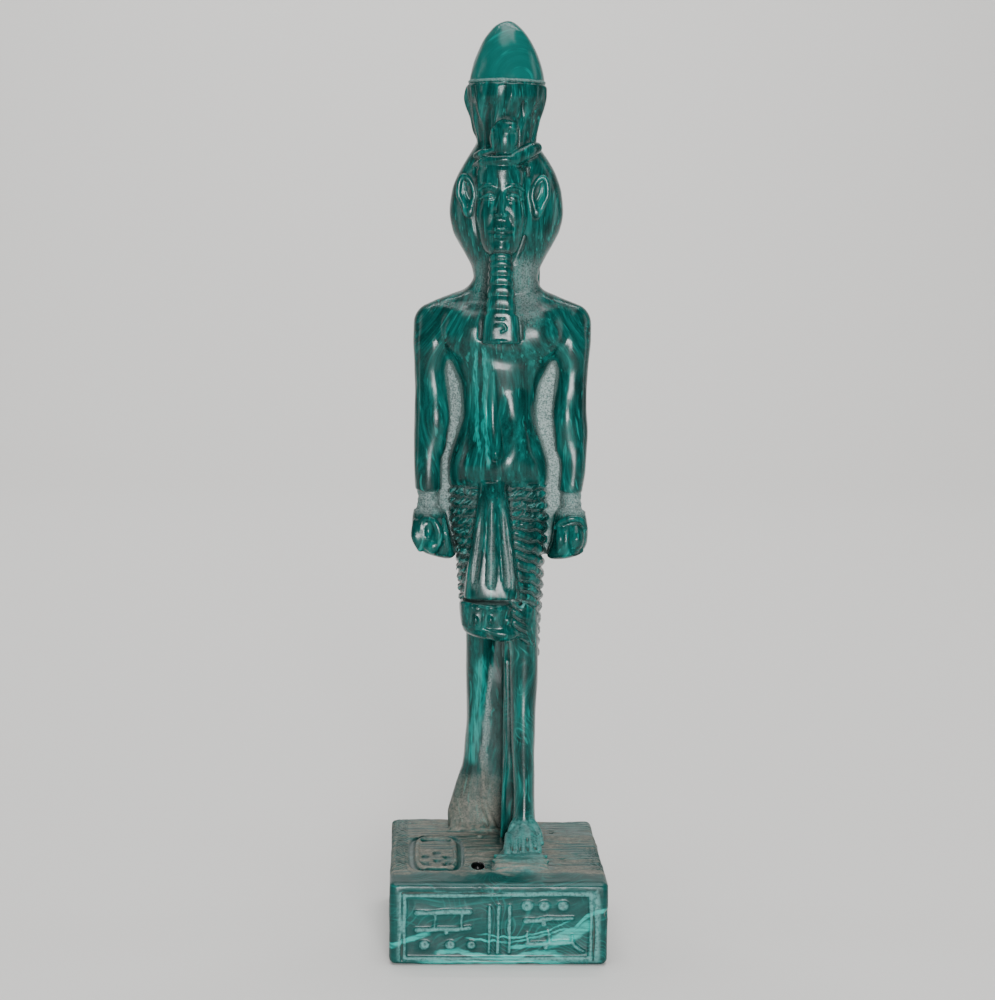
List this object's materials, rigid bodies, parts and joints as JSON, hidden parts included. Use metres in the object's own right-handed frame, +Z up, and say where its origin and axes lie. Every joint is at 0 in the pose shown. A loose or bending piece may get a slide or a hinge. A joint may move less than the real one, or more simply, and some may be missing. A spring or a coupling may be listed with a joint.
{
  "type": "osiris statue",
  "caption": "Small souvenir statue of a striding royal figure with a tall crown, false beard and pleated kilt, cast in one piece with its back pillar and plinth.",
  "frame": {"origin": "centre of the plinth's underside", "axes": "+Z up, along the figure; the figure faces -Y, and its own left side is at +X"},
  "size_m": [0.056, 0.062, 0.242],
  "materials": {
    "malachite": "polished dark green banded stone, dull and dusty in its hollows"
  },
  "bodies": {
    "root": {"statue": "malachite"}
  },
  "joints": []
}
